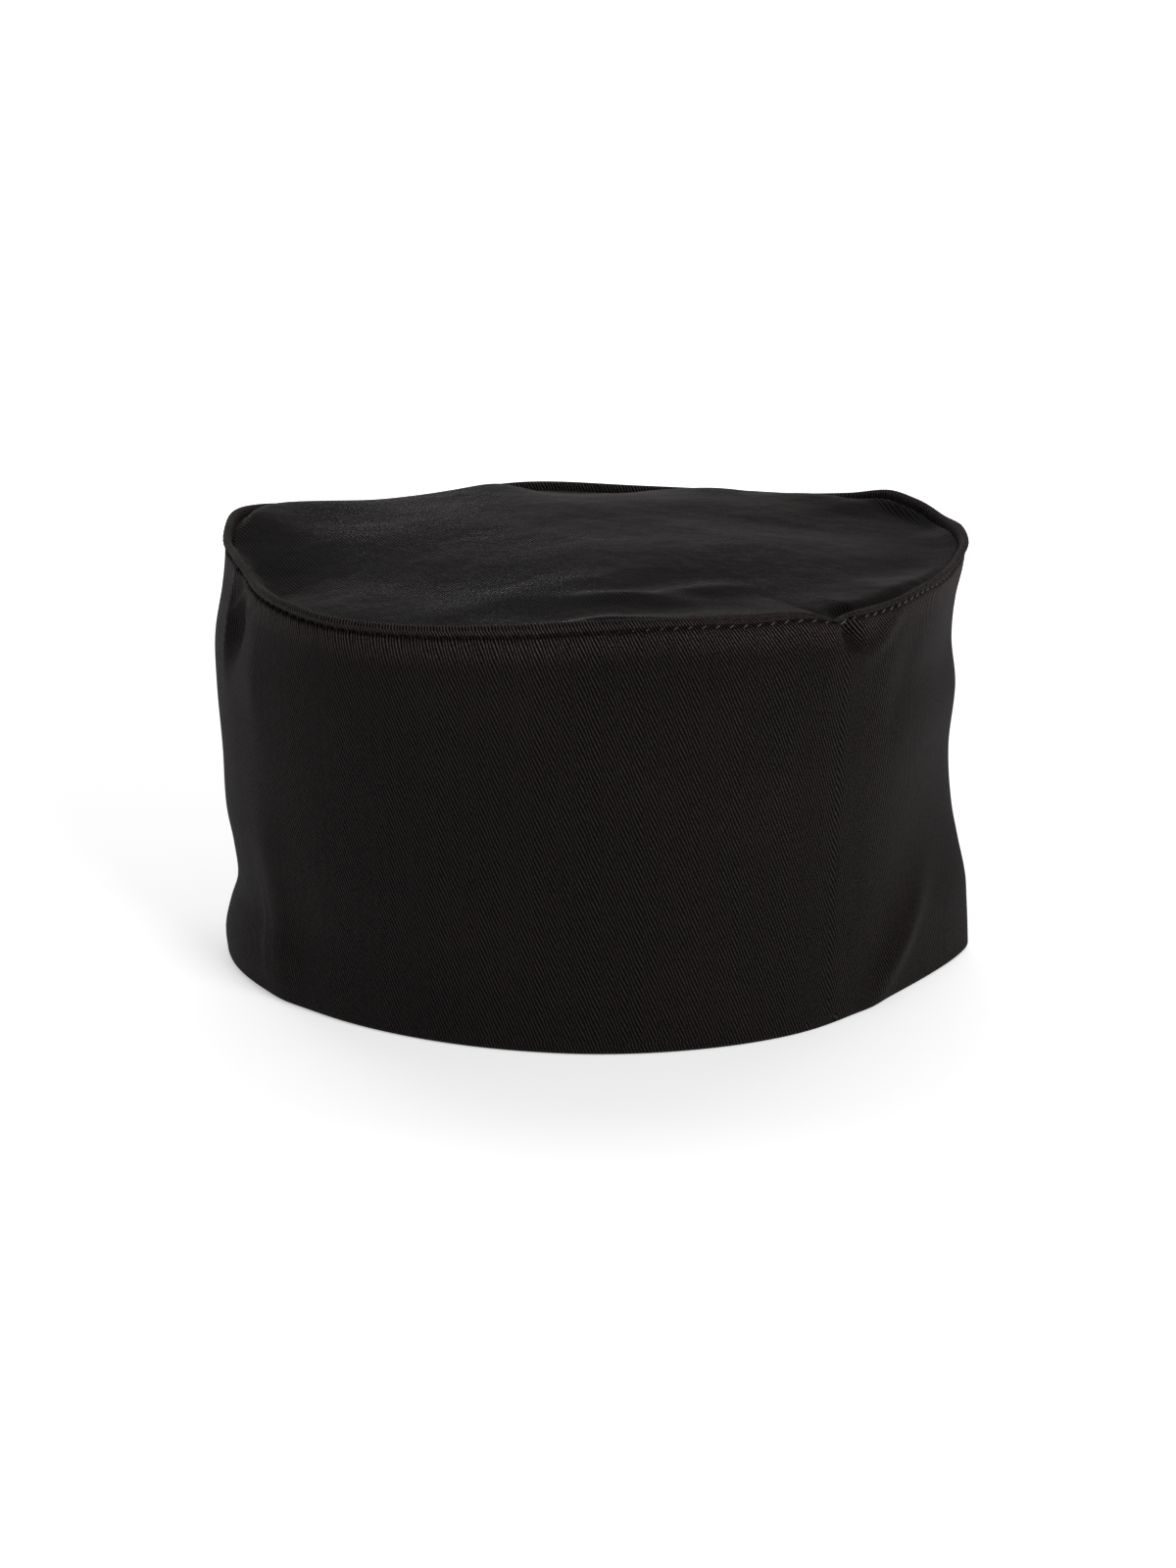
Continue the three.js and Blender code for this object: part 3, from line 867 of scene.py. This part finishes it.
thread_finish = Finish("thread")
flat, round_thread, along_thread = thread_finish.flat_place()
ply = (along_thread * 4.0 + round_thread * 2.0).wave()
ply_inputs = {"Strength": 0.8, "Distance": 0.00006, "Height": ply}
thread_bump = thread_finish.node("ShaderNodeBump", {}, ply_inputs)
# Painted highlight: the black thread's colour goes from near black to a much lighter grey on the crests
# of its twist, standing for light shining on the thread.
thread_colour_and_highlight = thread_finish.mix(ply, (0.014, 0.012, 0.012, 1), (0.09, 0.078, 0.076, 1))
thread_finish.set(Base_Color=thread_colour_and_highlight, Roughness=0.45, Normal=thread_bump)
thread_finish.set(Sheen_Weight=0.0, Specular_IOR_Level=0.4)
stitches.data.materials.append(thread_finish.material)
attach(stitches, "root")

# %% [markdown]
# ## Floor, light and camera
#
# The cap stands on a plain white floor in a bright white room. Black cloth shows its shape by what it
# reflects at a low angle, so most of the soft lights stand over it and behind it, two of them low down.
# One large light in front, at the right, fills the wall softly towards the camera. The floor glows a
# little, and more further off, so that it stays white and lights the wall's foot.

# %% Floor
floor_mesh = bpy.data.meshes.new("floor")
floor_corners = [(-4, -4, -0.0002), (4, -4, -0.0002), (4, 4, -0.0002), (-4, 4, -0.0002)]
floor_mesh.from_pydata(floor_corners, [], [(0, 1, 2, 3)])
floor = bpy.data.objects.new("floor", floor_mesh)
bpy.context.scene.collection.objects.link(floor)
floor_finish = Finish("floor_paper")
place = floor_finish.node("ShaderNodeTexCoord", output=3)
far = floor_finish.node("ShaderNodeVectorMath", {"operation": "LENGTH"}, {0: place}, output=1)
glow = 0.5 + far.between(0.3, 0.85) * 0.5
floor_finish.set(Base_Color=(0.9, 0.9, 0.9, 1), Roughness=0.9, Emission_Color=glow, Emission_Strength=1.0)
floor.data.materials.append(floor_finish.material)
print("floor:", floor.name)

# %% Lights
scene = bpy.context.scene
scene.view_settings.view_transform = "Standard"


def soft_light(name, place, target, size, power):
    """A rectangular light at a place in metres, turned towards a target, with its power in watts."""
    data = bpy.data.lights.new(name, "AREA")
    data.shape, data.size, data.size_y, data.energy = "RECTANGLE", size[0], size[1], power
    light = bpy.data.objects.new(name, data)
    light.location = place
    light.rotation_euler = (Vector(target) - Vector(place)).to_track_quat("-Z", "Y").to_euler()
    scene.collection.objects.link(light)


soft_light("over_and_behind", (0.0, 0.9, 1.2), (0, 0, 0.08), (1.6, 1.0), 11.5)
soft_light("overhead", (0.0, -0.1, 1.4), (0, 0, 0.08), (1.0, 1.0), 2.0)
soft_light("left_and_behind", (-0.8, 1.4, 0.45), (0, 0, 0.06), (0.5, 0.8), 1.9)
soft_light("front_right", (0.88, -1.4, 1.0), (0, 0, 0.06), (0.8, 0.8), 20.5)
soft_light("low_behind", (-0.6, 1.4, 0.26), (0, 0, 0.1), (2.0, 0.2), 4.6)

world = bpy.data.worlds.new("white_room")
world.use_nodes = True
nodes, links = world.node_tree.nodes, world.node_tree.links
room = nodes["Background"]
room.inputs["Color"].default_value = (1, 1, 1, 1)
rays = nodes.new("ShaderNodeLightPath")
strength = nodes.new("ShaderNodeMath")
strength.operation = "MULTIPLY_ADD"
strength.inputs[1].default_value = 1.0
strength.inputs[2].default_value = 0.01
links.new(rays.outputs["Is Camera Ray"], strength.inputs[0])
links.new(strength.outputs[0], room.inputs["Strength"])
scene.world = world

# %% [markdown]
# The camera stands in front of the cap and looks down at it by 16 degrees, as the photographer's did.

# %% Camera
distance, elevation = 1.467, math.radians(16.0)
aim = np.array([-0.0016, -0.0031, 0.0472])
camera_data = bpy.data.cameras.new("camera")
camera_data.lens, camera_data.sensor_width = 127.5, 36.0
camera = bpy.data.objects.new("camera", camera_data)
camera.location = aim + distance * np.array([0, -math.cos(elevation), math.sin(elevation)])
camera.rotation_euler = (math.pi / 2 - elevation, 0, 0)
scene.collection.objects.link(camera)
scene.camera = camera
print("the camera's distance, m:", distance)
